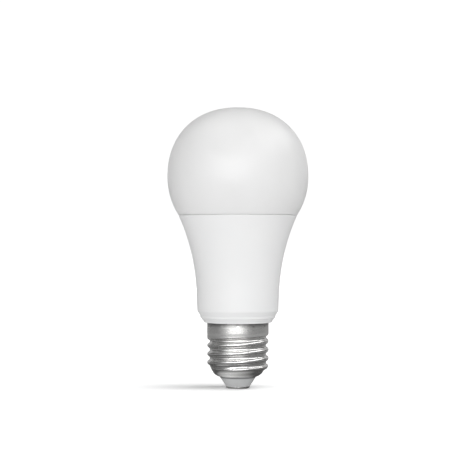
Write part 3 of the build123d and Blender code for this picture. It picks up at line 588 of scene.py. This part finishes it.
# Finish of the inner pieces' slots: how metallic, how rough, how fast the colour drifts (per mm), how fine
# the grain is (per mm, or per mm along each axis) and how deep it is (mm).
FINISHES = {
    "silicone_sealant": (0.0, 0.38, 0.5, 1.5, 0.030),
    "aluminium_sheet": (1.0, 0.34, 0.15, (0.6, 0.6, 7.0), 0.004),
    "thermal_silicone": (0.0, 0.62, 0.6, 5.0, 0.012),
    "white_led_board": (0.0, 0.34, 0.1, 6.0, 0.004),
    "led_white": (0.0, 0.30, 1.0, 8.0, 0.003),
    "warm_phosphor": (0.0, 0.42, 2.0, 14.0, 0.010),
    "cool_phosphor": (0.0, 0.42, 2.0, 14.0, 0.010),
    "zinc_steel": (1.0, 0.32, 1.0, (6.0, 6.0, 1.0), 0.004),
    "connector_plastic": (0.0, 0.36, 0.6, 6.0, 0.004),
    "black_plastic": (0.0, 0.50, 0.8, 9.0, 0.008),
    "tinned_metal": (1.0, 0.28, 1.5, 5.0, 0.004),
    "solder": (1.0, 0.22, 2.5, 4.0, 0.015),
    "board_laminate": (0.0, 0.33, 0.3, 2.2, 0.006),
    "capacitor_sleeve": (0.0, 0.27, 0.2, (1.0, 1.0, 3.0), 0.006),
    "varistor_coat": (0.0, 0.33, 0.5, 1.8, 0.040),
    "resistor_coat": (0.0, 0.40, 0.6, 2.2, 0.030),
    "film_case": (0.0, 0.30, 0.4, 3.0, 0.008),
    "ferrite": (0.0, 0.52, 0.9, 8.0, 0.012),
    "copper_wire": (1.0, 0.28, 0.5, (0.6, 7.0, 0.6), 0.050),
    "yellow_tape": (0.0, 0.24, 0.3, (0.5, 0.5, 2.4), 0.020),
    "chip_ceramic": (0.0, 0.45, 1.5, 9.0, 0.006),
    "red_wire": (0.0, 0.42, 0.5, 3.0, 0.008),
    "black_wire": (0.0, 0.42, 0.5, 3.0, 0.008),
    "radio_laminate": (0.0, 0.30, 0.4, 2.5, 0.005),
    "nickel_silver": (1.0, 0.30, 0.3, (0.8, 8.0, 0.8), 0.003),
    "gold_trace": (1.0, 0.26, 1.0, 6.0, 0.003),
}


def inner_finish(name, colour):
    """A material for an inner piece's slot: drifting colour, uneven gloss and its own grain."""
    metallic, roughness, patch, grain, height = FINISHES[name]
    s = Surface(name, colour, roughness, metallic)
    s.tint(s.noise(patch), [0.82 * c for c in colour])
    s.gloss(s.noise(2 * patch), roughness - 0.06, roughness + 0.06)
    return s.bump(s.noise(grain), height, 0.6)


def slot_materials():
    """The material of each of the record's slots."""
    made = {"opal_polycarbonate": opal_polycarbonate(), "white_polymer": white_polymer(),
            "nickel_plate": nickel_plate(), "grey_insulator": grey_insulator()}
    for slot in frame["record"]["materials"]:
        if slot["slot"] not in made:
            made[slot["slot"]] = inner_finish(slot["slot"], slot["base_color"][:3])
    return {name: surface.material for name, surface in made.items()}


def dress(pieces):
    """Gives each piece, and each CAD node that still shows, the material of its slot."""
    materials = slot_materials()
    slots = {entry["node"]: entry["material_slot"] for entry in frame["record"]["subparts"]}
    for piece in pieces:
        piece.data.materials.append(materials[piece["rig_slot"]])
    for node, piece in frame["nodes"].items():
        piece.data.materials.clear()
        piece.data.materials.append(materials[slots[node]])


# ---- Floor, light and camera ------------------------------------------------------------------------
def build_floor():
    """A white floor that glows a little, as a lit acrylic table does, and less in a patch beside the contact:
    a painted shadow.

    What stands over it is lit by an even glow. The metal mirrors it darker close to the bulb, a painted shade,
    with a brighter patch in front of the contact, a painted reflection."""
    mesh = bpy.data.meshes.new("floor")
    half = FLOOR_HALF * MM
    corners = [(-half, -half, 0), (half, -half, 0), (half, half, 0), (-half, half, 0)]
    mesh.from_pydata(corners, [], [(0, 1, 2, 3)])
    floor = bpy.data.objects.new("floor", mesh)
    bpy.context.scene.collection.objects.link(floor)
    s = Surface("floor", (FLOOR_ALBEDO,) * 3, 0.9)
    s.tint(s.noise(0.002), (FLOOR_ALBEDO + 0.005,) * 3)
    rays = s.nodes.new("ShaderNodeLightPath").outputs

    def by_distance(middle, span, near, far, stretch=(1, 1, 1)):
        """A value that runs from near to far over a span of distances from a place on the floor."""
        scaled, node = s.nodes.new("ShaderNodeVectorMath"), s.nodes.new("ShaderNodeVectorMath")
        scaled.operation, node.operation = "MULTIPLY", "DISTANCE"
        s.links.new(s.place, scaled.inputs[0])
        scaled.inputs[1].default_value = stretch
        s.links.new(scaled.outputs["Vector"], node.inputs[0])
        node.inputs[1].default_value = [a * b * MM for a, b in zip(middle, stretch)]
        return s.ranged(node.outputs["Value"], near, far, span[0] * MM, span[1] * MM)

    def sum_of(ray, amount, rest):
        """The amount where the ray is of that kind, plus the rest."""
        node = s.nodes.new("ShaderNodeMath")
        node.operation = "MULTIPLY_ADD"
        for socket, value in zip(node.inputs, (rays[ray], amount, rest)):
            if isinstance(value, float):
                socket.default_value = value
            else:
                s.links.new(value, socket)
        return node.outputs[0]

    axis = (0.0, 0.0, 0.0)
    shaded = s.nodes.new("ShaderNodeMath")
    shaded.operation = "MULTIPLY"
    s.links.new(by_distance(axis, GLOW_SPAN, NEAR_GLOW, FAR_GLOW), shaded.inputs[0])
    # painted shadow: less glow in a soft patch beside the contact
    s.links.new(by_distance(SHADE_MIDDLE, SHADE_SPAN, SHADE_LEAST, 1.0, SHADE_STRETCH), shaded.inputs[1])
    # painted reflection: a patch in front of the contact that glows only to glossy rays
    patch = by_distance(FRONT_PATCH, (0.0, PATCH_SPREAD), PATCH_GLOW, 0.0)
    mirrored = sum_of("Is Glossy Ray", patch, 0.0)
    total = sum_of("Is Camera Ray", shaded.outputs[0], sum_of("Is Diffuse Ray", BOUNCE_GLOW, mirrored))
    s.shader.inputs["Emission Color"].default_value = (1, 1, 1, 1)
    s.links.new(total, s.shader.inputs["Emission Strength"])

    # painted shade in the metal's reflections: the floor is darker to glossy rays, most close to the bulb
    loss = by_distance(axis, LOSS_SPAN, NEAR_LOSS, FAR_LOSS)
    share = sum_of("Is Glossy Ray", loss, sum_of("Is Camera Ray", CAMERA_GAIN, 1.0))
    dimmed, shade = s.nodes.new("ShaderNodeVectorMath"), s.shader.inputs["Base Color"]
    dimmed.operation = "SCALE"
    s.links.new(shade.links[0].from_socket, dimmed.inputs[0])
    s.links.new(share, dimmed.inputs["Scale"])
    s.links.new(dimmed.outputs["Vector"], shade)
    mesh.materials.append(s.material)


def build_world():
    """White behind the object and dark grey in what the metal mirrors. It doesn't light matt surfaces."""
    world = bpy.data.worlds.new("studio")
    bpy.context.scene.world = world
    world.use_nodes = True
    nodes, links = world.node_tree.nodes, world.node_tree.links
    room = nodes["Background"]
    room.inputs["Color"].default_value = (ROOM_GREY, ROOM_GREY, ROOM_GREY, 1)
    backdrop = nodes.new("ShaderNodeBackground")
    backdrop.inputs["Color"].default_value = (1, 1, 1, 1)
    backdrop.inputs["Strength"].default_value = BACKDROP_GLOW
    path, mix = nodes.new("ShaderNodeLightPath"), nodes.new("ShaderNodeMixShader")
    links.new(path.outputs["Is Camera Ray"], mix.inputs["Fac"])
    links.new(path.outputs["Is Glossy Ray"], room.inputs["Strength"])
    links.new(room.outputs["Background"], mix.inputs[1])
    links.new(backdrop.outputs["Background"], mix.inputs[2])
    links.new(mix.outputs["Shader"], nodes["World Output"].inputs["Surface"])


def softbox(name, azimuth, elevation, distance, width, height, strength, seen_by):
    """A panel of light facing the bulb's middle, in degrees and metres, equally bright at any size.

    Azimuth 0 is the front, and it grows towards +X. seen_by is all, matt or metal."""
    lamp = bpy.data.lights.new(name, "AREA")
    lamp.shape = "RECTANGLE"
    lamp.size, lamp.size_y = width, height
    lamp.energy = strength * width * height * math.pi
    holder = bpy.data.objects.new(name, lamp)
    a, e = math.radians(azimuth), math.radians(elevation)
    away = Vector((math.sin(a) * math.cos(e), -math.cos(a) * math.cos(e), math.sin(e)))
    middle = Vector((0, 0, OVERALL_HEIGHT / 2 * MM))
    holder.location = middle + away * distance
    holder.rotation_euler = away.to_track_quat("Z", "Y").to_euler()
    holder.visible_camera = False
    holder.visible_glossy = seen_by != "matt"
    holder.visible_diffuse = seen_by != "metal"
    bpy.context.scene.collection.objects.link(holder)


def build_lights():
    """Every bank's panels, as wide round the bulb and as high as their angles say at their distance."""
    for bank, (azimuths, elevation, wide, high, strength, seen_by) in SOFTBOXES.items():
        width, height = [2 * SOFTBOX_DISTANCE * math.tan(math.radians(angle / 2)) for angle in (wide, high)]
        width *= math.cos(math.radians(elevation))
        for azimuth in azimuths:
            name = f"{bank}_{azimuth}"
            softbox(name, azimuth, elevation, SOFTBOX_DISTANCE, width, height, strength, seen_by)


def build_camera():
    """A level camera in front of the bulb, close to its middle."""
    camera = bpy.data.cameras.new("camera")
    camera.sensor_width = SENSOR_WIDTH
    camera.lens = FOCAL_LENGTH
    camera.clip_start, camera.clip_end = CLIP_NEAR * MM, CLIP_FAR * MM
    holder = bpy.data.objects.new("camera", camera)
    holder.location = Vector((CAMERA_SIDE, -CAMERA_DISTANCE, CAMERA_HEIGHT)) * MM
    holder.rotation_euler = (math.pi / 2, 0, 0)
    bpy.context.scene.collection.objects.link(holder)
    bpy.context.scene.camera = holder


build_camera()
dress([build_dome(), build_housing(), build_shell(), build_insulator(), build_contact(), build_contact_pin()])
build_floor()
build_world()
build_lights()
bpy.context.scene.view_settings.view_transform = "Standard"
